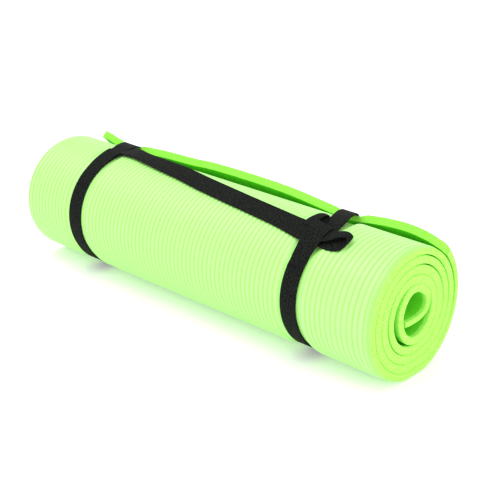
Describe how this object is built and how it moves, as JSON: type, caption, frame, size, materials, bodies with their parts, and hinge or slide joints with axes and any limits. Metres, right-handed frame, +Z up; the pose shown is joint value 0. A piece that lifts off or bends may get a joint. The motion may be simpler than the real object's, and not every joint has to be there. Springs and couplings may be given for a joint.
{
  "type": "rolled exercise mat",
  "caption": "Rolled ribbed foam exercise mat held by a webbing carry strap with a noose at each end and a straight carrying span between.",
  "frame": {"origin": "middle of the base, where the roll rests on the floor", "axes": "+X along the roll, towards the end whose strap knot has the long loop, +Y from the carrying span's side to the back, +Z up"},
  "size_m": [0.6226, 0.1764, 0.1679],
  "materials": {
    "foam": "matt closed-cell foam, ribbed on its outer face and speckled where it is cut",
    "webbing": "flat woven webbing with a fine cross rib and a soft sheen",
    "thread": "zigzag sewing thread"
  },
  "bodies": {
    "rolled_mat": {"foam_mat": "foam", "left_noose": "webbing", "right_noose": "webbing", "left_stitching": "thread", "right_stitching": "thread"},
    "carry_handle": {"carry_span": "webbing"}
  },
  "joints": [
    {"name": "lift_span", "type": "slide", "parent": "rolled_mat", "child": "carry_handle", "axis": [0, 0, 1], "range_m": [0, 0.035]}
  ]
}
